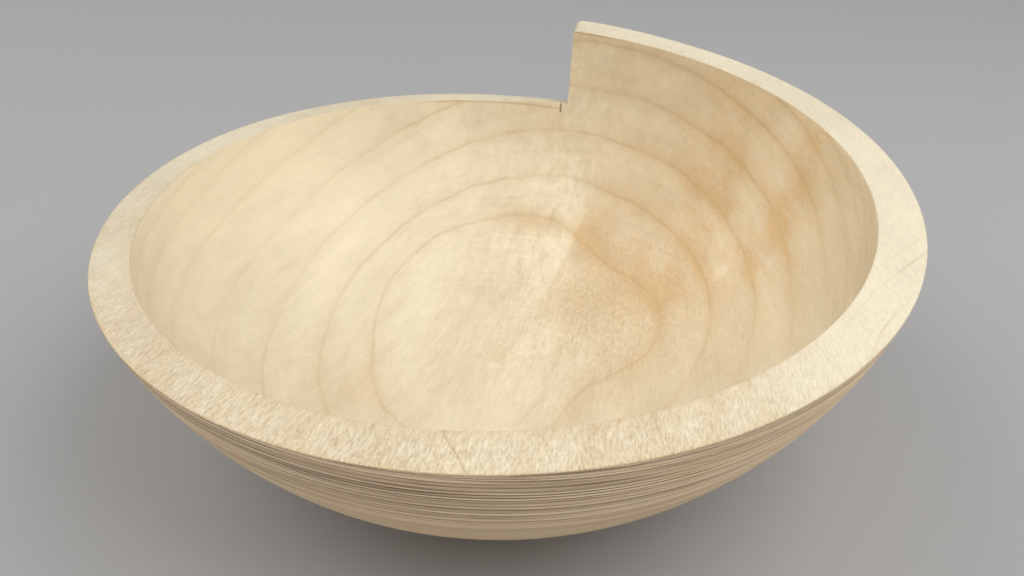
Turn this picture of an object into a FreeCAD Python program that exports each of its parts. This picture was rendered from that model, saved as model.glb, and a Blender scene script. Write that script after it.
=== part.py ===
# A wooden bowl turned from one block. Its rim climbs once round the bowl as a helix and ends in an
# upright step, so the wall is about half as tall again on one side of the step as on the other.
#
# Frame: millimetres. The origin is the centre of the flat foot, on the bowl's turning axis. +Z is up.
# The step lies in the plane X = 0, on the +Y side, and the rim climbs anticlockwise seen from above.
import FreeCAD
import Part
import math
import os

# Outside: part of a sphere, flattened where it stands
OUTSIDE_RADIUS = 157.0
SPHERE_HEIGHT = 148.0         # centre of the sphere above the foot
FOOT_EDGE_ROUND = 8.0         # rounding where the sphere meets the foot at a shallow angle

# Hollow: a superellipse turned about the axis, widest at the height of the sphere's centre
HOLLOW_RADIUS = 137.0
FLOOR_THICKNESS = 14.0
HOLLOW_FULLNESS = 2.9         # 2 is an ellipse, and more makes the wall steeper and the floor flatter
HOLLOW_POINTS = 24            # points that its curve passes through

# Rim: a conical helicoid, its heights measured on the radius RIM_GAUGE_RADIUS
RIM_GAUGE_RADIUS = 150.0
RIM_LOW_HEIGHT = 82.7         # where it starts, at the foot of the step
RIM_RISE = 38.8               # climb in one turn, and so the height of the step
RIM_FALL_ANGLE = 5.5          # degrees that the rim's face falls towards the outside
RIM_EDGE_ROUND = 0.6          # easing of the rim's inner and outer edges
STEP_CORNER_ROUND = 3.0       # rounding at the top of the step

# Saw nick: a short stray cut in the inside of the wall, beside the foot of the step
NICK_WIDTH = 0.8
NICK_DEPTH = 1.6              # into the wall
NICK_HEIGHT = 4.0             # down from the rim
NICK_DISTANCE = 3.2           # from the step, on its low side

CLEARANCE = 15.0              # how far the cutting tools reach past the wood
TOLERANCE = 0.01              # how near an edge must lie to where it is looked for

ORIGIN = FreeCAD.Vector(0, 0, 0)
UP = FreeCAD.Vector(0, 0, 1)
OUTWARD = FreeCAD.Vector(1, 0, 0)


def hollow_radius_at(height):
    """Radius of the hollow at a height above the foot."""
    fraction = (SPHERE_HEIGHT - height) / (SPHERE_HEIGHT - FLOOR_THICKNESS)
    return HOLLOW_RADIUS * (1 - fraction**HOLLOW_FULLNESS) ** (1 / HOLLOW_FULLNESS)


def rim_height_at(turn, radius):
    """Height of the rim's face at a fraction of a turn from the step, on a radius."""
    fall = math.tan(math.radians(RIM_FALL_ANGLE)) * (radius - RIM_GAUGE_RADIUS)
    return RIM_LOW_HEIGHT + RIM_RISE * turn - fall


def make_hollow():
    """The space that the bowl holds, from its floor to above the height of the sphere's centre."""
    depth = SPHERE_HEIGHT - FLOOR_THICKNESS
    points = []
    for index in range(HOLLOW_POINTS + 1):
        angle = math.pi / 2 * index / HOLLOW_POINTS
        across = HOLLOW_RADIUS * math.sin(angle) ** (2 / HOLLOW_FULLNESS)
        down = depth * math.cos(angle) ** (2 / HOLLOW_FULLNESS)
        points.append(FreeCAD.Vector(across, 0, SPHERE_HEIGHT - down))
    wall = Part.BSplineCurve()
    wall.interpolate(points, InitialTangent=OUTWARD, FinalTangent=UP)
    floor_centre = points[0]
    lip = points[-1]
    lip_above = lip + UP * CLEARANCE
    axis_above = FreeCAD.Vector(0, 0, lip_above.z)
    outline = Part.Wire(
        [
            wall.toShape(),
            Part.makeLine(lip, lip_above),
            Part.makeLine(lip_above, axis_above),
            Part.makeLine(axis_above, floor_centre),
        ]
    )
    return Part.Face(outline).revolve(ORIGIN, UP, 360)


def make_turned_blank():
    """The bowl before its rim is cut: a ball with a flat foot, cut off at its centre and hollowed out."""
    ball = Part.makeSphere(OUTSIDE_RADIUS, UP * SPHERE_HEIGHT)
    corner = FreeCAD.Vector(-OUTSIDE_RADIUS, -OUTSIDE_RADIUS, 0)
    slab = Part.makeBox(2 * OUTSIDE_RADIUS, 2 * OUTSIDE_RADIUS, SPHERE_HEIGHT, corner)
    outside = ball.common(slab)
    foot_edges = [edge for edge in outside.Edges if edge.BoundBox.ZMax < TOLERANCE]
    outside = outside.makeFillet(FOOT_EDGE_ROUND, foot_edges)
    return outside.cut(make_hollow())


def make_rim_cutter(first_turn, last_turn):
    """What is cut away above the rim's face, between two fractions of a turn from the step."""
    helices = []
    for radius in (HOLLOW_RADIUS - 2 * CLEARANCE, OUTSIDE_RADIUS + CLEARANCE):
        helix = Part.makeHelix(RIM_RISE, RIM_RISE * (last_turn - first_turn), radius).Edges[0]
        helix.rotate(ORIGIN, UP, 90 + 360 * first_turn)
        helix.translate(UP * rim_height_at(first_turn, radius))
        helices.append(helix)
    return Part.makeRuledSurface(*helices).extrude(UP * SPHERE_HEIGHT)


def find_step_corner(solid):
    """The edge at the top of the step, where its upright face meets the rim's face."""
    for edge in solid.Edges:
        box = edge.BoundBox
        in_step_plane = max(abs(box.XMin), abs(box.XMax)) < TOLERANCE and box.YMin > 0
        level = box.ZLength < box.YLength
        if in_step_plane and level and box.ZMin > rim_height_at(0.5, OUTSIDE_RADIUS):
            return edge
    raise ValueError("the top of the step was not found")


def find_rim_edges(solid):
    """The long edges that run round the bowl on both sides of the rim's face."""
    rim_edges = []
    for edge in solid.Edges:
        if edge.Degenerated or edge.Length < OUTSIDE_RADIUS:
            continue
        middle = edge.valueAt((edge.FirstParameter + edge.LastParameter) / 2)
        if middle.z > RIM_LOW_HEIGHT:
            rim_edges.append(edge)
    return rim_edges


def make_saw_nick():
    """The stray saw cut in the inside of the wall."""
    wall = hollow_radius_at(RIM_LOW_HEIGHT)
    corner = FreeCAD.Vector(
        -NICK_DISTANCE - NICK_WIDTH / 2,
        wall - CLEARANCE,
        rim_height_at(0, wall) - NICK_HEIGHT,
    )
    return Part.makeBox(NICK_WIDTH, CLEARANCE + NICK_DEPTH, NICK_HEIGHT + CLEARANCE, corner)


def make_bowl():
    """The whole bowl, one solid."""
    bowl = make_turned_blank()
    for first_turn in (0.0, 0.5):
        bowl = bowl.cut(make_rim_cutter(first_turn, first_turn + 0.5))
    bowl = bowl.removeSplitter()
    bowl = bowl.makeFillet(STEP_CORNER_ROUND, [find_step_corner(bowl)])
    bowl = bowl.makeFillet(RIM_EDGE_ROUND, find_rim_edges(bowl))
    bowl = bowl.cut(make_saw_nick())
    return bowl.Solids[0]


bowl = make_bowl()
size = bowl.optimalBoundingBox()
print("bowl is valid:", bowl.isValid(), " volume in cubic centimetres:", round(bowl.Volume / 1000, 1))
print("size:", round(size.XLength, 1), round(size.YLength, 1), round(size.ZLength, 1))

os.makedirs("parts", exist_ok=True)
bowl.exportStep("parts/bowl.step")
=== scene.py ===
import math

import bmesh
import bpy
import numpy as np
from mathutils import Matrix, Vector


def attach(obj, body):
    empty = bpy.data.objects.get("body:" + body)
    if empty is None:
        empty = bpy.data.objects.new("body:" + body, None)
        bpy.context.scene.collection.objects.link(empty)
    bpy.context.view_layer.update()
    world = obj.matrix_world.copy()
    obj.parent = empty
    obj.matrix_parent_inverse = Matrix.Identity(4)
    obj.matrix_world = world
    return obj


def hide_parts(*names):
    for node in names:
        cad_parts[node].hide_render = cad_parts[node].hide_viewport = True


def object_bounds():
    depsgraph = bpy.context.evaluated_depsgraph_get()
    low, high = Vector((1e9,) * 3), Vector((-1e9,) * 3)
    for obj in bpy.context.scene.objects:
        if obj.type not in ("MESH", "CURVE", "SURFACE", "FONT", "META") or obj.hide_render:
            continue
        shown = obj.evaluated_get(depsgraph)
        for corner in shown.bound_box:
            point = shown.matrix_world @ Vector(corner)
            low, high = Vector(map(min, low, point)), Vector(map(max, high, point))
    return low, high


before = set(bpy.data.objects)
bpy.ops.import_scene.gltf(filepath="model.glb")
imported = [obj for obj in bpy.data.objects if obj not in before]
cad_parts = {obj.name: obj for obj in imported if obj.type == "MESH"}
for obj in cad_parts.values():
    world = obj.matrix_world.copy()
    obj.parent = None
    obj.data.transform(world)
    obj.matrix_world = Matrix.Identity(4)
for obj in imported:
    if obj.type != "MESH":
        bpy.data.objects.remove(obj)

cad_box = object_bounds()

# A turned wooden bowl whose rim climbs once round as a helix and ends in an upright step.
# Lengths are in millimetres unless a comment says metres, and the meshes are made in metres. The
# step lies in the plane X = 0 on the +Y side, and a place round the rim is given as a turn: 0 at the
# foot of the step, 1 at its top, anticlockwise seen from above.
MM = 0.001

# The bowl's form, as in the CAD solid
OUTSIDE_RADIUS = 157.0
SPHERE_HEIGHT = 148.0         # centre of the outside's sphere above the foot
FOOT_FLAT_RADIUS = 51.0
FOOT_EDGE_RADIUS = 53.7
FOOT_EDGE_HEIGHT = SPHERE_HEIGHT - math.sqrt(OUTSIDE_RADIUS**2 - FOOT_EDGE_RADIUS**2)
HOLLOW_RADIUS = 137.0
FLOOR_THICKNESS = 14.0
HOLLOW_DEPTH = SPHERE_HEIGHT - FLOOR_THICKNESS
HOLLOW_FULLNESS = 2.9         # 2 is an ellipse, and more makes the wall steeper and the floor flatter
RIM_GAUGE_RADIUS = 150.0      # where the rim's height and the distances round it are measured
RIM_LOW_HEIGHT = 82.7
RIM_RISE = 38.8
RIM_FALL = math.tan(math.radians(5.5))
EDGE_EASE = 0.6               # easing of the rim's inner and outer edges
NICK_WIDTH = 0.8
NICK_DEPTH = 1.6              # into the wall
NICK_HEIGHT = 4.0             # down from the rim
NICK_DISTANCE = 3.2           # from the step, on its low side
NICK_RADIUS = 131.4           # of the rim's inner edge beside the foot of the step
STEP_CORNER_ROUND = 2.6       # at the top of the step, a little less than the CAD solid's

# Small unevenness of hand work, which the CAD solid doesn't have. A pair tells where an effect
# starts and where it is full, as a length along the rim from the step, or else as a radius, turn
# or height.
STEP_LEAN = 1.6               # how far the step's outer edge stands past its inner edge
STEP_LEAN_TURNS = (0.992, 1)
STEP_LEAN_HEIGHTS = (RIM_LOW_HEIGHT + 1.5, RIM_LOW_HEIGHT + 7.5)
CORNER_LIFT = 2.2             # how far the rim's inner edge rises at the foot of the step
CORNER_LIFT_LOST = (14, 42)
OUTER_DIP = 0.7               # how far the outer edge is filed down past the foot of the step
OUTER_DIP_GAINED = (4, 30)
OUTER_DIP_LOST = (110, 190)
OUTER_RISE = 0.9              # how far the outer edge rises near the top of the step
OUTER_RISE_TURNS = (0.93, 1)
TOWARDS_INNER = (145, 131)
TOWARDS_OUTER = (133, 147)
TOWARDS_HIGH_OUTER = (138, 154)

# Turning lines left by the tool on the outside
LINE_TOP = 119.5              # height of the highest line
LINE_PITCH = 1.75
LINE_PITCH_GROWTH = 0.06      # how much the pitch grows for each millimetre below LINE_SPREAD_HEIGHT
LINE_SPREAD_HEIGHT = 90
LINE_DEPTH = 0.26
LINE_WIDTH = 0.25
LINE_FADE_HEIGHT = 78.0       # below this the outside has been scraped nearly smooth
LINE_FADE_SPAN = 4
LINE_LEAST = 0.1              # the share of a line's depth that scraping leaves
LINES_END = 50.0              # below this the mesh has no turning lines
NEAR_RIM_HEIGHTS = (99, 107)
NEAR_RIM_LOSS = 0.45          # the share of a line's depth that is missing near the rim
LINE_WAVE = 0.2               # how far a line runs out of level

# Mesh
STATIONS = 288                # columns in one turn
BEFORE_STEP = (0.08, 0.3, 0.6, 1.0, 1.5, 2.1, 2.9)     # extra columns, by distance from the step
AFTER_STEP = (0.15, 0.6)
NICK_SIDE = 0.03              # half the breadth in which the nick's sides fall
NICK_LIP = 0.2                # how far the rim's face stops short of the nick's inner end
WELD_DECIMALS = 5             # points that agree to this many decimals are one vertex
FOOT_ROW_RADII = (0, 4, 8, 14, 20, 26, 32, 38, 43, 47, 49.5, FOOT_FLAT_RADIUS)
LOWER_ROW = 1.5               # height between rows below the turning lines
LINE_ROWS = (-1.9, -0.75, 0, 0.75, 1.9)                # rows over one turning line, in its widths
TOP_ROW_HEIGHTS = (120.4, 121.2)
CORNER_ROWS = 3
RIM_ROWS = 12
HOLLOW_ROWS = 96
SHARP_ANGLE = math.radians(38)

# Zones of the surface, which are also the bowl's material slots
OUTSIDE, RIM, HOLLOW, FOOT, STEP = range(5)

# The tree's heart lay under the bowl, along Y and sloping a little. A growth ring is known by its
# distance from the heart, and the rings swell or dip round buried knots.
HEART_SIDE = 3.6              # from the bowl's axis, towards +X
HEART_DEPTH = 212.5           # below the foot
HEART_DRIFT = 0.168           # towards +X for each millimetre towards +Y
HEART_RISE = 0.185            # upwards for each millimetre towards +Y
HEART_FRONT = -80.0           # in front of this the heart runs level and straight
HEART_BEND = 50.0             # the length of the bend there
# Each swelling has its centre in plan, its size and how far it pushes the rings
SWELLINGS = (((41.7, 2.6), 23.5, 7.9), ((24.2, 76.7), 28.9, 12.3), ((-48.5, 53.7), 21.2, -4.4))
# Distances of the rings from the heart, and of fainter ones between them
RINGS = (178, 189, 200, 212, 222, 237.7, 249, 266, 286, 307, 323, 333, 339.1, 344.3, 358.4, 361.7)
FAINT_RINGS = (206, 234.2, 243, 258, 273.5, 281.5, 294, 300.5, 315, 331, 345.5, 353.5, 356.5)
BAND_WIDTH = 6.0              # of the soft brown band at each ring line
SHADOW_WIDTH = 0.42           # of the dark line under the hollow's edge
DARK_TO_BROWN = -1.8          # how much browner the wood is where it is darker

# Colours
CREAM = (0.845, 0.75, 0.558, 1)
TAN = (0.73, 0.525, 0.29, 1)
RING_BROWN = (0.52, 0.32, 0.115, 1)
GROOVE_BROWN = (0.17, 0.10, 0.06, 1)
OUTSIDE_TINT = (1.10, 0.98, 0.91)
FLOOR_GREY = (0.46, 0.46, 0.46, 1)
STUDIO_WHITE = (1, 1, 1, 1)

# Soft spots on the bowl, seen in plan, each as its centre and its size
SHIMMER_SPOT = ((4, 92), (19, 28))
FLECK_SPOT = ((34, 42), (34, 32))
ROUGH_SPOT = ((10, 40), (60, 50))
ROUGH_CORNER_SPOT = ((82, 88), (36, 34))
SANDED_SPOT = ((0, 82), (55, 26))
STAIN_EDGE_SPOT = ((13, 86), (12, 22))
RUBBED_SPOT = ((118, 12), (26, 48))
RIM_FRONT_SPOT = ((0, -140), (110, 45))
RIM_GOLD_SPOT = ((85, -110), (40, 25))
RIM_DULL_SPOT = ((112, 98), (30, 24))
RIM_LIGHT_SPOT = ((-136, 50), (25, 40))
OUTSIDE_FRONT_SPOT = ((15, -145), (75, 60))

# The same with an amount: how much lighter the hollow is, how much browner it is, and how clearly
# a growth ring shows on the rim
# In the hollow's spots, the lighter ones on its walls at the left and right and the darker one on its
# floor at (-50, -38) are painted light and shade, for how the light falls there
TONE_AND_SHADE_SPOTS = (
    ((42, 97), (6, 3), 0.07),
    ((38, 96), (13, 10), -0.08),
    ((86, 67), (3.5, 2.2), 0.10),
    ((-20, 70), (35, 30), 0.02),
    ((-108, 62), (18, 24), 0.11),
    ((-126, 5), (10, 50), 0.12),
    ((100, 68), (16, 22), 0.10),
    ((20, 74), (26, 22), -0.09),
    ((-6, 100), (11, 4), -0.10),
    ((-50, -38), (24, 14), -0.05),
    ((-20, 58), (12, 26), -0.04),
    ((40, 28), (5, 26), -0.06),
    ((22, 28), (6, 22), -0.04),
    ((-25, 120), (45, 10), 0.03),
    ((118, 22), (14, 45), 0.08),
    ((-54, 111), (9, 6), 0.06),
    ((-4, 9.5), (2.6, 1.3), 0.09),
    ((80, 92), (36, 30), 0.06),
    ((-90, 62), (25, 18), 0.04),
    ((-25, 28), (10, 28), -0.05),
    ((-55, 2), (10, 14), -0.05),
)
BROWN_SPOTS = (
    ((22, 97), (7, 9), 0.50),
    ((60, 66), (9, 7), 0.45),
    ((48, 76), (26, 20), 0.22),
    ((28, 62), (20, 12), 0.30),
    ((62, 28), (20, 24), 0.22),
    ((101, 63), (9, 10), 0.30),
    ((110, 70), (6, 6), 0.35),
    ((80, 95), (8, 9), 0.38),
    ((72, 108), (14, 8), 0.15),
    ((80, 95), (40, 30), 0.15),
    ((42, 97), (8, 5), -0.14),
    ((118, 40), (12, 24), 0.20),
    ((-52, -28), (10, 14), 0.14),
    ((-58, -22), (18, 34), 0.06),
    ((-58, 114), (12, 8), 0.10),
    ((-5, 99), (13, 4), 0.45),
    ((-88, 58), (28, 20), -0.12),
    ((45, 97), (26, 12), 0.22),
    ((90, 68), (24, 17), 0.30),
    ((112, 35), (16, 40), 0.13),
    ((-6, 14), (7, 4), 0.12),
    ((40, 126), (40, 14), 0.12),
)
RIM_LINES = (
    ((-70, -122), (9, 12), 0.7),
    ((27, -140), (9, 12), 0.9),
    ((55, -130), (9, 12), 0.8),
    ((76, -121), (9, 12), 0.6),
    ((146, -20), (8, 9), 0.55),
    ((137, -57), (7, 9), 0.40),
)

# Floor, camera and lights. A light's place and size, and the floor's size, are in metres.
FLOOR_HALF = 4.0
CAMERA_PLACE = (83.89, -325.09, 282.8)
CAMERA_PITCH = math.radians(33.412)                    # below level
CAMERA_YAW = math.radians(-13.496)                     # from +Y towards +X
CAMERA_ROLL = math.radians(1.46)
CAMERA_LENS = 35.12
CAMERA_SENSOR = 36
STUDIO_GLOW = 0.25
SOFTBOXES = (
    ("overhead", (0.0, -0.3, 1.8), 3.2, 5),
    ("right", (0.8, -0.1, 1.2), 1.2, 11),
    ("left", (-1.2, -0.1, 1.3), 1.6, 11),
    ("front", (0.0, -1.3, 1.5), 1.6, 4),
)


# ---- The bowl's form ----

def share(value, start, end):
    """Goes evenly from 0 at the start to 1 at the end."""
    return np.clip((value - start) / (end - start), 0, 1)


def ease(value, start, end):
    """Goes smoothly from 0 at the start to 1 at the end."""
    t = share(value, start, end)
    return t * t * (3 - 2 * t)


def outside_radius_at(height):
    return np.sqrt(OUTSIDE_RADIUS**2 - (SPHERE_HEIGHT - height) ** 2)


def hollow_radius_at(height):
    fraction = np.clip((SPHERE_HEIGHT - height) / HOLLOW_DEPTH, 0, 1)
    return HOLLOW_RADIUS * (1 - fraction**HOLLOW_FULLNESS) ** (1 / HOLLOW_FULLNESS)


def rounded_drop(distance, radius):
    """How far a rounded edge has fallen away, at a distance from where it ends."""
    inside = np.clip(radius - distance, 0, radius)
    return radius - np.sqrt(radius**2 - inside**2)


def rim_height_at(turn, radius):
    """Height of the rim's face, which is rounded where it ends at the top of the step.
    By hand work it stands a little proud in the corner at the foot of the step."""
    around = 2 * math.pi * RIM_GAUGE_RADIUS
    to_step = (1 - turn) * around
    from_step = turn * around
    height = RIM_LOW_HEIGHT + RIM_RISE * turn - RIM_FALL * (radius - RIM_GAUGE_RADIUS)
    lift = CORNER_LIFT * share(radius, *TOWARDS_INNER)
    height = height + lift * (1 - ease(from_step, *CORNER_LIFT_LOST))
    dip = OUTER_DIP * share(radius, *TOWARDS_OUTER) * ease(from_step, *OUTER_DIP_GAINED)
    height = height - dip * (1 - ease(from_step, *OUTER_DIP_LOST))
    rise = OUTER_RISE * share(radius, *TOWARDS_HIGH_OUTER)
    height = height + rise * ease(turn, *OUTER_RISE_TURNS)
    return height - rounded_drop(to_step, STEP_CORNER_ROUND)


def rim_corner(turn, radius_at):
    """Radius and height at which the rim's face meets the outside or the hollow."""
    radius = np.full_like(turn, RIM_GAUGE_RADIUS - 10)
    # Each round brings the radius nearer to the crossing
    for _ in range(30):
        radius = radius_at(rim_height_at(turn, radius))
    return radius, rim_height_at(turn, radius)


def line_places():
    """Height, strength and width of each turning line, from the top down."""
    rng = np.random.default_rng(7)
    places = []
    line = LINE_TOP
    while line > LINES_END:
        strength = rng.uniform(0.2, 1.0)
        width = LINE_WIDTH * rng.uniform(0.7, 1.5)
        unscraped = 1 / (1 + math.exp((LINE_FADE_HEIGHT - line) / LINE_FADE_SPAN))
        kept = LINE_LEAST + (1 - LINE_LEAST) * unscraped
        near_rim = 1 - NEAR_RIM_LOSS * float(ease(line, *NEAR_RIM_HEIGHTS))
        places.append((line, strength * near_rim * kept, width))
        pitch = LINE_PITCH + LINE_PITCH_GROWTH * max(0, LINE_SPREAD_HEIGHT - line)
        line -= pitch * rng.uniform(0.7, 1.3)
    return places


def line_height(line, turn):
    """A turning line runs round the bowl a little out of level."""
    return line + LINE_WAVE * math.sin(line) * np.sin(2 * math.pi * turn + line)


def turning_lines(height, turn):
    """Depth of the turning lines at a height on the outside, as a share of the deepest."""
    depth = np.zeros_like(height)
    for line, strength, width in line_places():
        away = (height - line_height(line, turn)) / width
        depth += strength * np.exp(-(away**2))
    return depth


# ---- The bowl's mesh ----

def station_turns():
    """The turns at which the bowl's columns stand: even, and closer at the nick and the step."""
    around = 2 * math.pi * RIM_GAUGE_RADIUS
    around_nick = 2 * math.pi * NICK_RADIUS
    turns = list(np.arange(STATIONS + 1) / STATIONS)
    for edge in (NICK_DISTANCE - NICK_WIDTH / 2, NICK_DISTANCE + NICK_WIDTH / 2):
        turns += [(edge - NICK_SIDE) / around_nick, (edge + NICK_SIDE) / around_nick]
    turns += [1 - distance / around for distance in BEFORE_STEP]
    turns += [distance / around for distance in AFTER_STEP]
    return np.array(sorted(turns))


def in_nick(turns):
    """Which columns lie in the saw nick."""
    return np.abs(turns * 2 * math.pi * NICK_RADIUS - NICK_DISTANCE) < NICK_WIDTH / 2


def corner_arc(before, corner, after):
    """Points on an eased corner: three (radius, height) pairs make a smooth bend."""
    points = []
    for k in range(1, CORNER_ROWS + 1):
        t = k / (CORNER_ROWS + 1)
        weights = ((1 - t) ** 2, 2 * t * (1 - t), t**2)
        radius = sum(w * p[0] for w, p in zip(weights, (before, corner, after)))
        height = sum(w * p[1] for w, p in zip(weights, (before, corner, after)))
        points.append((radius, height))
    return points


def foot_rows(ones):
    """The flat foot, from its centre, and its rounded edge."""
    rows = [(radius * ones, 0 * ones, FOOT) for radius in FOOT_ROW_RADII]
    sharp_corner = (math.sqrt(OUTSIDE_RADIUS**2 - SPHERE_HEIGHT**2), 0.0)
    before = (FOOT_FLAT_RADIUS, 0.0)
    after = (FOOT_EDGE_RADIUS, FOOT_EDGE_HEIGHT)
    for radius, height in corner_arc(before, sharp_corner, after):
        rows.append((radius * ones, height * ones, OUTSIDE))
    return rows


def outside_rows(turns, outer_end, edge_cut):
    """From the foot's edge up to where the eased edge of the rim begins, with the turning lines."""
    ones = np.ones_like(turns)
    low_end = outer_end[0]
    heights = [z * ones for z in np.arange(FOOT_EDGE_HEIGHT, LINES_END - 0.5, LOWER_ROW)]
    heights += [z * ones for z in (low_end, *TOP_ROW_HEIGHTS, outer_end.max())]
    for line, _, width in line_places():
        for offset in LINE_ROWS:
            heights.append(line_height(line, turns) + offset * width)
    rows = []
    for height in np.sort(np.array(heights), axis=0):
        height = np.minimum(height, outer_end)
        above = np.clip((height - low_end) / 2, 0, 1)
        depth = LINE_DEPTH * turning_lines(height, turns)
        rows.append((outside_radius_at(height) - depth - edge_cut * above, height, OUTSIDE))
    return rows


def rim_rows(turns, outer, inner, edge_cut, outer_before, inner_after):
    """The rim's face, with an eased edge on each side and the nick in its inner edge."""
    outer_r, outer_z = outer
    inner_r, inner_z = inner
    breadth = np.hypot(outer_r - inner_r, outer_z - inner_z)
    ease_r = (inner_r - outer_r) / breadth * EDGE_EASE
    ease_z = (inner_z - outer_z) / breadth * EDGE_EASE
    cut = edge_cut * np.clip(turns * 2 - 1, 0, 1)
    outer_after = (outer_r - cut + ease_r, outer_z + ease_z)
    face_end = (inner_r + cut - ease_r, inner_z - ease_z)
    points = corner_arc(outer_before, (outer_r - cut, outer_z), outer_after)
    for k in range(RIM_ROWS + 1):
        t = k / RIM_ROWS
        radius = outer_after[0] * (1 - t) + face_end[0] * t
        height = outer_after[1] * (1 - t) + face_end[1] * t
        points.append((radius, height))
    inner_corner = (inner_r + cut + np.where(in_nick(turns), NICK_DEPTH, 0), inner_z)
    inner_before = (np.maximum(face_end[0], inner_corner[0] + NICK_LIP), face_end[1])
    points += corner_arc(inner_before, inner_corner, inner_after)
    return [(radius, height, RIM) for radius, height in points]


def hollow_rows(turns, nick_bottom, inner_end, edge_cut):
    """From the eased edge of the rim down to the centre of the hollow's floor."""
    ones = np.ones_like(turns)
    low_end = inner_end[0]
    top = inner_end.max()
    angles = np.linspace(0, math.pi / 2, HOLLOW_ROWS + 1)[1:]
    levels = [SPHERE_HEIGHT - HOLLOW_DEPTH * math.cos(a) ** (2 / HOLLOW_FULLNESS) for a in angles]
    levels = [z for z in levels if z < top]
    levels += [low_end, nick_bottom - NICK_SIDE, nick_bottom + NICK_SIDE, top]
    rows = []
    for level in sorted(levels, reverse=True):
        height = np.minimum(level, inner_end)
        above = np.clip((height - low_end) / 2, 0, 1)
        radius = hollow_radius_at(height) + edge_cut * above
        radius = radius + np.where(in_nick(turns) & (height > nick_bottom), NICK_DEPTH, 0)
        rows.append((radius, height, HOLLOW))
    rows.append((0 * ones, FLOOR_THICKNESS * ones, HOLLOW))
    return rows


def bowl_rows(turns):
    """Rows from the centre of the foot, over the rim, to the centre of the hollow's floor.
    Each is (radius array, height array, zone), with one value for each station."""
    outer = rim_corner(turns, outside_radius_at)
    inner = rim_corner(turns, hollow_radius_at)
    to_step = (1 - turns) * 2 * math.pi * RIM_GAUGE_RADIUS
    edge_cut = rounded_drop(to_step, EDGE_EASE)
    nick_bottom = inner[1][0] - NICK_HEIGHT
    outside = outside_rows(turns, outer[1] - EDGE_EASE, edge_cut)
    hollow = hollow_rows(turns, nick_bottom, inner[1] - EDGE_EASE, edge_cut)
    rim = rim_rows(turns, outer, inner, edge_cut, outside[-1][:2], hollow[0][:2])
    return foot_rows(np.ones_like(turns)) + outside + rim + hollow


def row_points(rows, turns):
    """Where the rows and columns cross. The step's outer edge stands a little past its inner edge."""
    points = []
    for radius, height, _ in rows:
        lean = STEP_LEAN * share(radius, *TOWARDS_HIGH_OUTER) * ease(turns, *STEP_LEAN_TURNS)
        lean = lean * ease(height, *STEP_LEAN_HEIGHTS)
        angle = math.pi / 2 + 2 * math.pi * turns + lean / np.maximum(radius, 1)
        points.append(np.stack([radius * np.cos(angle), radius * np.sin(angle), height], axis=1))
    return np.array(points)


def store(mesh, name, values):
    """Stores one number for each vertex, for a material to read."""
    attribute = mesh.attributes.new(name, "FLOAT", "POINT")
    attribute.data.foreach_set("value", values)


def make_bowl():
    turns = station_turns()
    rows = bowl_rows(turns)
    points = row_points(rows, turns)
    zones = [zone for _, _, zone in rows]

    # Points that fall together become one vertex
    flat = np.round(points.reshape(-1, 3), WELD_DECIMALS)
    _, first, label = np.unique(flat, axis=0, return_index=True, return_inverse=True)
    label = label.reshape(points.shape[:2])
    vertices = np.clip(points.reshape(-1, 3)[first] * MM, cad_box[0], cad_box[1])

    faces = []
    face_zones = []
    for i in range(len(rows) - 1):
        for j in range(len(turns) - 1):
            ring = (label[i, j], label[i, j + 1], label[i + 1, j + 1], label[i + 1, j])
            corners = [int(v) for k, v in enumerate(ring) if v != ring[k - 1]]
            if len(set(corners)) >= 3:
                faces.append(corners)
                face_zones.append(zones[i + 1])
    mesh = bpy.data.meshes.new("turned_bowl")
    mesh.from_pydata(vertices.tolist(), [], faces)
    mesh.polygons.foreach_set("material_index", face_zones)

    on_outside = np.array([zone == OUTSIDE for zone in zones])[:, None]
    lines = np.array([turning_lines(height, turns) for _, height, _ in rows]) * on_outside
    store(mesh, "tool_line", lines.reshape(-1)[first])
    # 0 on the outside and at the rim's outer edge, 1 at its inner edge and in the hollow
    on_rim = [i for i, zone in enumerate(zones) if zone == RIM]
    across = np.interp(np.arange(len(rows)), [on_rim[0] + 2, on_rim[-1] - 2], [0, 1])
    across = across[:, None] * np.ones(len(turns))
    store(mesh, "rim_across", across.reshape(-1)[first])
    bowl = bpy.data.objects.new("turned_bowl", mesh)
    bpy.context.scene.collection.objects.link(bowl)
    return bowl


def ring_radius(x, y, z):
    """Which growth ring a place in the wood belongs to."""
    nearness = np.clip(HEART_BEND - np.abs(y - HEART_FRONT), 0, None) / HEART_BEND
    along = np.maximum(y, HEART_FRONT) + nearness**3 * HEART_BEND / 6
    radius = np.hypot(x - HEART_DRIFT * along - HEART_SIDE, z - HEART_RISE * along + HEART_DEPTH)
    for centre, size, swelling in SWELLINGS:
        square = (x - centre[0]) ** 2 + (y - centre[1]) ** 2
        radius = radius + swelling * np.exp(-square / (2 * size**2))
    return radius


def mark_ring_slope(mesh):
    """Stores how fast the surface passes from ring to ring, so that ring lines keep one width."""
    count = len(mesh.vertices)
    places = np.empty(count * 3, dtype=np.float32)
    normals = np.empty(count * 3, dtype=np.float32)
    mesh.vertices.foreach_get("co", places)
    mesh.vertex_normals.foreach_get("vector", normals)
    x, y, z = places.reshape(-1, 3).astype(float).T / MM
    normals = normals.reshape(-1, 3).astype(float)
    step = 0.5
    here = ring_radius(x, y, z)
    slope = np.stack([
        ring_radius(x + step, y, z) - here,
        ring_radius(x, y + step, z) - here,
        ring_radius(x, y, z + step) - here,
    ], axis=1) / step
    slope -= normals * (slope * normals).sum(axis=1, keepdims=True)
    steepness = np.clip(np.linalg.norm(slope, axis=1), 0.05, 1)
    store(mesh, "ring_slope", steepness.astype(np.float32))


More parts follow.
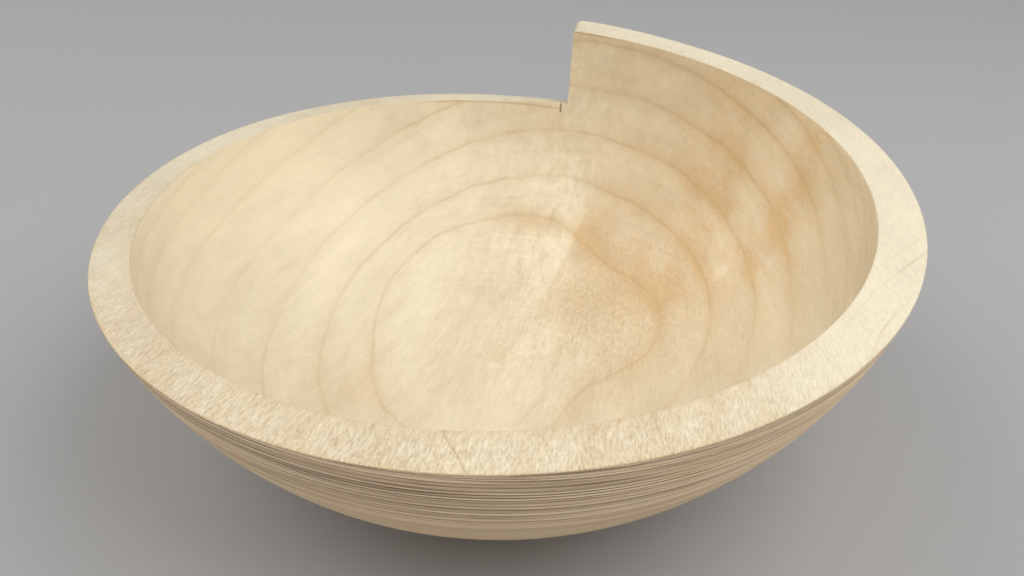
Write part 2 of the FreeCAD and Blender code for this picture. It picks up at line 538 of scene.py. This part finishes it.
def close_step(bowl):
    """Fills the upright face of the step, whose border is all that is open."""
    bm = bmesh.new()
    bm.from_mesh(bowl.data)
    border = [edge for edge in bm.edges if edge.is_boundary]
    step_faces = bmesh.ops.edgenet_fill(bm, edges=border)["faces"]
    for face in step_faces:
        face.material_index = STEP
    bmesh.ops.recalc_face_normals(bm, faces=bm.faces)
    bmesh.ops.triangulate(bm, faces=step_faces)
    bm.to_mesh(bowl.data)
    bm.free()
    bowl.data.polygons.foreach_set("use_smooth", [True] * len(bowl.data.polygons))
    bowl.data.set_sharp_from_angle(angle=SHARP_ANGLE)


# ---- Materials ----

class Nodes:
    """Makes shader nodes in one material. Each method returns the new node's output socket."""

    def __init__(self, tree):
        self.tree = tree

    def add(self, kind, inputs, output=0, **settings):
        node = self.tree.nodes.new(kind)
        for key, value in settings.items():
            setattr(node, key, value)
        for key, value in inputs.items():
            if isinstance(value, bpy.types.NodeSocket):
                self.tree.links.new(value, node.inputs[key])
            else:
                node.inputs[key].default_value = value
        return node.outputs[output]

    def attribute(self, name):
        return self.add("ShaderNodeAttribute", {}, output=2, attribute_name=name)

    def math(self, operation, *values, clamp=False):
        inputs = dict(enumerate(values))
        return self.add("ShaderNodeMath", inputs, operation=operation, use_clamp=clamp)

    def times(self, first, *factors):
        for factor in factors:
            first = self.math("MULTIPLY", first, factor)
        return first

    def sum_of(self, base, *terms):
        """A base and, added to it, each term's value times its amount."""
        for value, amount in terms:
            base = self.math("MULTIPLY_ADD", value, amount, base)
        return base

    def vector(self, operation, *values, output=0):
        inputs = dict(enumerate(values))
        return self.add("ShaderNodeVectorMath", inputs, output=output, operation=operation)

    def scale(self, vector, factor):
        inputs = {0: vector, 3: factor}
        return self.add("ShaderNodeVectorMath", inputs, operation="SCALE")

    def split(self, vector):
        separate = self.tree.nodes.new("ShaderNodeSeparateXYZ")
        self.tree.links.new(vector, separate.inputs[0])
        return separate.outputs

    def join(self, x, y, z):
        return self.add("ShaderNodeCombineXYZ", {0: x, 1: y, 2: z})

    def remap(self, value, low, high, to_low=0.0, to_high=1.0):
        inputs = {0: value, 1: low, 2: high, 3: to_low, 4: to_high}
        return self.add("ShaderNodeMapRange", inputs, interpolation_type="SMOOTHSTEP")

    def mix(self, amount, first, second):
        inputs = {0: amount, 6: first, 7: second}
        return self.add("ShaderNodeMix", inputs, output=2, data_type="RGBA")

    def noise(self, place, size, seed, detail=2.0, roughness=0.5):
        """Noise between about -1 and 1 whose features have the given size in millimetres."""
        stretch = tuple(1 / length for length in size)
        shift = (seed * 7.31, seed * 3.17, seed * 5.73)
        where = self.vector("MULTIPLY_ADD", place, stretch, shift)
        inputs = {"Vector": where, "Scale": 1.0, "Detail": detail, "Roughness": roughness}
        return self.math("MULTIPLY_ADD", self.add("ShaderNodeTexNoise", inputs), 4.0, -2.0)

    def spot(self, place, centre, size):
        """A soft round or oval spot, 1 at its centre, seen in plan."""
        stretch = (1 / size[0], 1 / size[1], 0)
        shift = (-centre[0] / size[0], -centre[1] / size[1], 0)
        away = self.vector("MULTIPLY_ADD", place, stretch, shift)
        square = self.vector("DOT_PRODUCT", away, away, output=1)
        return self.math("EXPONENT", self.math("MULTIPLY", square, -0.5))

    def add_spots(self, base, place, spots):
        """A base and, added to it, soft spots given as (centre, size, amount)."""
        for centre, size, amount in spots:
            base = self.math("MULTIPLY_ADD", self.spot(place, centre, size), amount, base)
        return base


def ring_distance(nodes, ring, radii, lead=1.0):
    """Distance to the nearest of the given growth rings, counted lead times on its inner side."""
    nearest = None
    for radius in radii:
        away = nodes.math("SUBTRACT", ring, float(radius))
        away = nodes.math("MAXIMUM", away, nodes.times(away, -lead))
        nearest = away if nearest is None else nodes.math("MINIMUM", nearest, away)
    return nearest


def line_of(nodes, distance, width):
    """1 on a line and 0 away from it."""
    ratio = nodes.math("DIVIDE", distance, width)
    return nodes.math("EXPONENT", nodes.times(ratio, ratio, -1.0))


def shader_ring(nodes, point, x, y, z):
    """ring_radius in shader nodes."""
    along = nodes.math("SMOOTH_MAX", y, HEART_FRONT, HEART_BEND)
    beside = nodes.sum_of(nodes.math("SUBTRACT", x, HEART_SIDE), (along, -HEART_DRIFT))
    above = nodes.sum_of(nodes.math("ADD", z, HEART_DEPTH), (along, -HEART_RISE))
    ring = nodes.math("SQRT", nodes.sum_of(nodes.times(above, above), (beside, beside)))
    for centre, size, swelling in SWELLINGS:
        ring = nodes.sum_of(ring, (nodes.spot(point, centre, (size, size)), swelling))
    return ring


def wood_figure(nodes, line_width=1.0):
    """The wood's figure inside the block that the bowl was turned from."""
    point = nodes.scale(nodes.add("ShaderNodeTexCoord", {}, output=3), 1 / MM)
    x, y, z = nodes.split(point)

    # Growth rings, which wander a little and show more in some places than in others
    slope = nodes.attribute("ring_slope")
    wander = nodes.times(nodes.noise(point, (24, 60, 24), seed=1), 1.1)
    wander = nodes.sum_of(wander, (nodes.noise(point, (9, 15, 9), seed=2, detail=3), 0.3))
    ring = nodes.sum_of(shader_ring(nodes, point, x, y, z), (wander, slope))
    strength = nodes.remap(nodes.noise(point, (24, 34, 24), seed=3), -0.9, 0.8, 0.3, 1.0)
    to_ring = nodes.math("DIVIDE", ring_distance(nodes, ring, RINGS, lead=2.0), slope)
    to_faint = nodes.math("DIVIDE", ring_distance(nodes, ring, FAINT_RINGS), slope)
    sharp = line_of(nodes, to_ring, line_width)
    faint = line_of(nodes, to_faint, line_width)
    lines = nodes.times(nodes.sum_of(sharp, (faint, 0.3)), strength)
    soft = nodes.math("EXPONENT", nodes.times(to_ring, -1 / BAND_WIDTH))

    # Fibres, which lean outwards a little on both sides
    lean = nodes.sum_of(1.0, (y, 0.002))
    fibre_side = nodes.sum_of(nodes.times(x, lean), (y, -0.04))
    fibre_place = nodes.join(fibre_side, y, z)
    fibre = nodes.noise(fibre_place, (0.75, 9.0, 0.75), seed=4, detail=3, roughness=0.6)
    streak = nodes.noise(fibre_place, (4.5, 60.0, 4.5), seed=5)
    return {
        "point": point,
        "x": x,
        "y": y,
        "height": z,
        "fibre_place": fibre_place,
        "lines": lines,
        "soft": soft,
        "fibre": fibre,
        "streak": streak,
    }


def wood_colour(nodes, figure, tone, warmth, line_strength, band_strength):
    """The wood's colour where it is lighter or darker by tone, and browner by warmth.
    Darker wood is also browner."""
    warmth = nodes.math("MULTIPLY_ADD", tone, DARK_TO_BROWN, warmth, clamp=True)
    colour = nodes.mix(warmth, CREAM, TAN)
    colour = nodes.scale(colour, nodes.math("ADD", tone, 1.0))
    amount = nodes.times(figure["soft"], band_strength)
    amount = nodes.sum_of(amount, (figure["lines"], line_strength))
    return nodes.mix(amount, colour, RING_BROWN)


def finish(nodes, colour, roughness, height, depth_mm, specular=0.35):
    """Joins colour, roughness and bump to the shader."""
    shader = nodes.tree.nodes["Principled BSDF"]
    bump = {"Strength": 1.0, "Distance": depth_mm * MM, "Height": height}
    nodes.tree.links.new(colour, shader.inputs["Base Color"])
    nodes.tree.links.new(roughness, shader.inputs["Roughness"])
    nodes.tree.links.new(nodes.add("ShaderNodeBump", bump), shader.inputs["Normal"])
    shader.inputs["Specular IOR Level"].default_value = specular


def new_material(name):
    material = bpy.data.materials.new(name)
    material.use_nodes = True
    return material, Nodes(material.node_tree)


def hollow_tone(nodes, figure, curl, stain_edge):
    """Broad shimmering bands of painted sheen, flecks, and sanding marks that run round the bowl."""
    point = figure["point"]
    fibre_place = figure["fibre_place"]
    broad = nodes.noise(point, (38, 95, 38), seed=10)
    patch = nodes.noise(point, (15, 38, 15), seed=11)
    bands = nodes.noise(fibre_place, (9, 48, 9), seed=16)
    flecks = nodes.noise(fibre_place, (1.6, 2.8, 1.6), seed=12)
    rough = nodes.math("ADD", nodes.spot(point, *ROUGH_SPOT), nodes.spot(point, *ROUGH_CORNER_SPOT))
    # The shimmer at the back of the hollow is painted sheen
    shimmer = nodes.math("ADD", figure["streak"], 0.35)
    shimmer = nodes.times(shimmer, nodes.spot(point, *SHIMMER_SPOT))
    in_plan = nodes.vector("MULTIPLY", point, (1, 1, 0))
    from_axis = nodes.math("SQRT", nodes.vector("DOT_PRODUCT", point, in_plan, output=1))
    marks = nodes.noise(nodes.join(from_axis, figure["x"], figure["y"]), (1.3, 26, 26), seed=15)
    tone = nodes.sum_of(
        0.01,
        (broad, 0.034),
        (patch, 0.036),
        (bands, 0.032),
        (figure["streak"], 0.026),
        (figure["fibre"], nodes.sum_of(0.030, (rough, 0.016))),
        (curl, nodes.sum_of(0.008, (rough, 0.024))),
        (shimmer, 0.065),
        (flecks, nodes.sum_of(0.016, (nodes.spot(point, *FLECK_SPOT), 0.048))),
        (marks, nodes.sum_of(0.008, (nodes.spot(point, *SANDED_SPOT), 0.03))),
    )
    # Lighter and darker spots, some of them painted light and shade
    tone = nodes.add_spots(tone, point, TONE_AND_SHADE_SPOTS)
    return nodes.sum_of(tone, (stain_edge, -0.10))


def hollow_warmth(nodes, figure, curl, stain_edge):
    """Browner in the stains, whose borders fray along the fibres, and towards the right."""
    point = figure["point"]
    stain = nodes.math("ADD", nodes.add_spots(0.0, point, BROWN_SPOTS), stain_edge)
    frayed = nodes.sum_of(0.75, (figure["streak"], 0.45), (curl, 0.3), (figure["soft"], 0.7))
    warmth = nodes.times(nodes.noise(point, (26, 55, 26), seed=13), 0.10)
    warmth = nodes.math("ADD", warmth, nodes.remap(figure["x"], -120.0, 90.0, 0.02, 0.26))
    return nodes.sum_of(warmth, (figure["fibre"], -0.04), (stain, frayed))


def edge_shadow(nodes, figure, height, climb, start, end):
    """A dark line close under the hollow's edge, which dies away along X."""
    above = nodes.math("SUBTRACT", figure["height"], height)
    line = line_of(nodes, nodes.sum_of(above, (figure["x"], -climb)), SHADOW_WIDTH)
    return nodes.times(line, nodes.remap(figure["x"], start, end, 1.0, 0.0))


def step_shadow(nodes, figure):
    """The dark line under the hollow's edge, on the high and on the low side of the step."""
    high = edge_shadow(nodes, figure, height=121.9, climb=-0.0435, start=8.0, end=34.0)
    low = edge_shadow(nodes, figure, height=84.0, climb=-0.043, start=-10.0, end=0.0)
    low = nodes.times(low, nodes.remap(figure["x"], -80.0, -55.0))
    at_back = nodes.remap(figure["y"], 90.0, 100.0, 0.0, 0.6)
    return nodes.times(nodes.sum_of(high, (low, 0.8)), at_back)


def hollow_material():
    """Sanded smooth, with broad shimmering bands of painted sheen and brown stains round the knots.
    """
    material, nodes = new_material("wood_hollow")
    figure = wood_figure(nodes)
    point = figure["point"]
    curl = nodes.noise(figure["fibre_place"], (5.0, 7.0, 5.0), seed=14)
    # The stain near the back ends at one slanting fibre
    beside = nodes.sum_of(figure["x"], (figure["fibre"], 0.8), (figure["y"], -0.22))
    stain_edge = nodes.remap(beside, -9.4, -5.6, -0.34, 0.0)
    stain_edge = nodes.times(stain_edge, nodes.spot(point, *STAIN_EDGE_SPOT))
    tone = hollow_tone(nodes, figure, curl, stain_edge)
    warmth = hollow_warmth(nodes, figure, curl, stain_edge)

    # Sanding has nearly rubbed out the rings on the right, and they are fainter on the left
    rubbed = nodes.sum_of(1.0, (nodes.spot(point, *RUBBED_SPOT), -0.8))
    left_fade = nodes.remap(figure["x"], -130.0, -40.0, 0.45, 1.0)
    for part in ("lines", "soft"):
        figure[part] = nodes.times(figure[part], rubbed, left_fade)
    colour = wood_colour(nodes, figure, tone, warmth, line_strength=0.22, band_strength=0.15)
    colour = nodes.mix(step_shadow(nodes, figure), colour, RING_BROWN)
    roughness = nodes.sum_of(0.5, (figure["fibre"], 0.03))
    height = nodes.sum_of(figure["streak"], (figure["fibre"], 0.3))
    finish(nodes, colour, roughness, height, depth_mm=0.02)
    return material


def rim_material():
    """Levelled with a rasp, so its fibres stand up as a fine rough hatch."""
    material, nodes = new_material("wood_rim")
    figure = wood_figure(nodes, line_width=0.5)
    point = figure["point"]
    hatch = nodes.noise(figure["fibre_place"], (0.5, 4.0, 0.5), seed=20, detail=3, roughness=0.6)
    crumbs = nodes.noise(point, (0.7, 1.1, 0.7), seed=21, detail=3, roughness=0.7)
    clumps = nodes.noise(point, (3.5, 6.0, 3.5), seed=24)
    patch = nodes.noise(point, (12, 22, 12), seed=22)
    broad = nodes.noise(point, (38, 46, 38), seed=26, detail=1)
    front = nodes.spot(point, *RIM_FRONT_SPOT)
    gold = nodes.spot(point, *RIM_GOLD_SPOT)
    across = nodes.attribute("rim_across")
    to_inner = nodes.math("POWER", nodes.math("MAXIMUM", across, 0.0), 5.0)
    to_outer = nodes.math("EXPONENT", nodes.times(across, -14.0))

    # The hatch is roughest in front and eases off at the inner edge
    rasped = nodes.times(nodes.sum_of(0.5, (front, 0.5)), nodes.sum_of(1.0, (to_inner, -0.65)))
    fine = nodes.sum_of(nodes.times(crumbs, 0.09), (hatch, 0.155))
    tone = nodes.times(fine, rasped)
    # Lighter towards +X: painted sheen of the light from the right on the rasped fibres
    tone = nodes.math("ADD", tone, nodes.remap(figure["x"], -150.0, 150.0, 0.01, 0.15))
    tone = nodes.sum_of(
        tone,
        (front, -0.03),
        (nodes.spot(point, *RIM_DULL_SPOT), -0.06),
        (gold, -0.07),
        (nodes.spot(point, *RIM_LIGHT_SPOT), 0.04),
        (broad, 0.035),
        (clumps, 0.022),
        (patch, 0.03),
    )
    golden = nodes.noise(point, (9, 20, 9), seed=23)
    warmth = nodes.sum_of(0.13, (golden, 0.14), (fine, -0.6), (front, 0.30), (gold, 0.12))
    # Less brown towards +X: the same painted sheen
    warmth = nodes.math("ADD", warmth, nodes.remap(figure["x"], 60.0, 150.0, 0.0, -0.08))
    # Golden edges, and short brown streaks that run out from the inner edge at the front
    warmth = nodes.sum_of(warmth, (to_outer, 0.35), (to_inner, 0.20))
    streaks = nodes.remap(nodes.noise(point, (1.6, 60, 60), seed=25), 0.25, 0.8)
    streaks = nodes.times(streaks, nodes.times(to_inner, front))
    warmth = nodes.math("ADD", warmth, streaks)

    # The rasp has hidden the growth rings but in a few places, where the inner edge shows them best
    shown = nodes.add_spots(0.08, point, RIM_LINES)
    shown = nodes.times(shown, nodes.sum_of(0.75, (to_inner, 0.5)))
    figure["lines"] = nodes.times(figure["lines"], nodes.math("MINIMUM", shown, 1.0))
    colour = wood_colour(nodes, figure, tone, warmth, line_strength=0.75, band_strength=0.0)
    roughness = nodes.sum_of(0.75, (crumbs, 0.05))
    height = nodes.sum_of(hatch, (crumbs, 0.5))
    finish(nodes, colour, roughness, height, depth_mm=0.13, specular=0.25)
    return material


def outside_material(name, line_amount, lightness):
    """Left from the tool, with darker dirt and painted shade in its turning lines, and painted shade
    low down. The foot has the lines more weakly.
    """
    material, nodes = new_material(name)
    figure = wood_figure(nodes)
    point = figure["point"]
    fine = nodes.noise(point, (260, 260, 0.8), seed=30, detail=3, roughness=0.6)
    wide = nodes.noise(point, (150, 150, 5.0), seed=31)
    strips = nodes.noise(point, (220, 220, 1.9), seed=34)
    patch = nodes.noise(point, (22, 40, 22), seed=32)
    arcs = nodes.noise(point, (18, 18, 9), seed=33)

    # The lines are clearest in front, and scraping has nearly cleared them lower down
    front = nodes.spot(point, *OUTSIDE_FRONT_SPOT)
    clear = nodes.sum_of(0.35, (front, 0.9))
    shade = nodes.times(nodes.remap(figure["height"], 54.0, 84.0, 0.08, 1.0), clear)
    hair = nodes.times(nodes.math("ABSOLUTE", fine), 6.0)
    hair = nodes.math("SUBTRACT", 1.0, hair, clamp=True)
    hair = nodes.times(hair, nodes.times(shade, line_amount))
    hair = nodes.times(hair, nodes.remap(arcs, -0.8, 1.2, 0.85, 0.35))
    fine = nodes.times(fine, shade)
    wide = nodes.times(wide, nodes.sum_of(0.3, (shade, 0.7)))
    tone = nodes.sum_of(
        lightness,
        (fine, 0.55 * line_amount),
        (nodes.times(strips, shade), 0.22 * line_amount),
        (wide, 0.24 * line_amount),
        (front, 0.03),
    )
    # Darker towards the foot and lighter towards the rim: painted shade, as if the floor under the
    # bowl were dark
    tone = nodes.math("ADD", tone, nodes.remap(figure["height"], 25.0, 104.0, -0.31, 0.15))
    tone = nodes.sum_of(tone, (patch, 0.025), (figure["fibre"], 0.02))
    warmth = nodes.sum_of(0.33, (patch, 0.12), (tone, 1.5))
    colour = wood_colour(nodes, figure, tone, warmth, line_strength=0.24, band_strength=0.03)
    colour = nodes.vector("MULTIPLY", colour, OUTSIDE_TINT)
    # Darker turning lines and hair lines: partly dirt, partly painted shade of the grooves
    dust_and_groove_shade = nodes.times(nodes.attribute("tool_line"), nodes.remap(arcs, -1.0, 1.0, 0.7, 1.2))
    dust_and_groove_shade = nodes.times(dust_and_groove_shade, clear, line_amount)
    dust_and_groove_shade = nodes.math("ADD", dust_and_groove_shade, hair, clamp=True)
    colour = nodes.mix(dust_and_groove_shade, colour, GROOVE_BROWN)
    roughness = nodes.sum_of(0.62, (fine, 0.04))
    height = nodes.sum_of(fine, (figure["fibre"], 0.3))
    finish(nodes, colour, roughness, height, depth_mm=0.16 * line_amount, specular=0.3)
    return material


def step_material():
    """Sawn across and cleaned up, with the saw's fine upright marks."""
    material, nodes = new_material("wood_step")
    figure = wood_figure(nodes)
    saw = nodes.noise(figure["point"], (1.0, 1.0, 30.0), seed=40)
    patch = nodes.noise(figure["point"], (12, 12, 12), seed=41)
    tone = nodes.sum_of(0.0, (saw, 0.03), (patch, 0.02))
    warmth = nodes.sum_of(0.22, (patch, 0.1))
    colour = wood_colour(nodes, figure, tone, warmth, line_strength=0.22, band_strength=0.03)
    roughness = nodes.sum_of(0.68, (saw, 0.05))
    finish(nodes, colour, roughness, saw, depth_mm=0.06, specular=0.3)
    return material


bowl = make_bowl()
close_step(bowl)
mark_ring_slope(bowl.data)
bowl.data.materials.append(outside_material("wood_outside", line_amount=1.0, lightness=0.13))
bowl.data.materials.append(rim_material())
bowl.data.materials.append(hollow_material())
bowl.data.materials.append(outside_material("wood_foot", line_amount=0.3, lightness=0.0))
bowl.data.materials.append(step_material())
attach(bowl, "root")
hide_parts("bowl")


# ---- Floor, camera and light ----

def make_floor():
    half = FLOOR_HALF
    mesh = bpy.data.meshes.new("floor")
    corners = [(-half, -half, 0), (half, -half, 0), (half, half, 0), (-half, half, 0)]
    mesh.from_pydata(corners, [], [(0, 1, 2, 3)])
    floor = bpy.data.objects.new("floor", mesh)
    bpy.context.scene.collection.objects.link(floor)
    paper, nodes = new_material("floor_paper")
    shader = nodes.tree.nodes["Principled BSDF"]
    shader.inputs["Base Color"].default_value = FLOOR_GREY
    shader.inputs["Roughness"].default_value = 0.9
    mesh.materials.append(paper)


def make_camera():
    level = Vector((math.sin(CAMERA_YAW), math.cos(CAMERA_YAW), 0))
    right = Vector((math.cos(CAMERA_YAW), -math.sin(CAMERA_YAW), 0))
    forward = level * math.cos(CAMERA_PITCH) - Vector((0, 0, math.sin(CAMERA_PITCH)))
    up = right.cross(forward)
    rolled_right = right * math.cos(CAMERA_ROLL) + up * math.sin(CAMERA_ROLL)
    rolled_up = up * math.cos(CAMERA_ROLL) - right * math.sin(CAMERA_ROLL)
    data = bpy.data.cameras.new("camera")
    data.lens = CAMERA_LENS
    data.sensor_width = CAMERA_SENSOR
    camera = bpy.data.objects.new("camera", data)
    rotation = Matrix((rolled_right, rolled_up, -forward)).transposed().to_4x4()
    camera.matrix_world = Matrix.Translation(Vector(CAMERA_PLACE) * MM) @ rotation
    bpy.context.scene.collection.objects.link(camera)
    bpy.context.scene.camera = camera


def make_softbox(name, place, size, energy):
    data = bpy.data.lights.new(name, "AREA")
    data.size = size
    data.energy = energy
    light = bpy.data.objects.new(name, data)
    light.location = place
    light.rotation_euler = (-Vector(place)).to_track_quat("-Z", "Y").to_euler()
    bpy.context.scene.collection.objects.link(light)


def make_light():
    world = bpy.data.worlds.new("studio")
    world.use_nodes = True
    background = world.node_tree.nodes["Background"]
    background.inputs["Color"].default_value = STUDIO_WHITE
    background.inputs["Strength"].default_value = STUDIO_GLOW
    bpy.context.scene.world = world
    for name, place, size, energy in SOFTBOXES:
        make_softbox(name, place, size, energy)


make_floor()
make_camera()
make_light()
bpy.context.scene.view_settings.view_transform = "Standard"
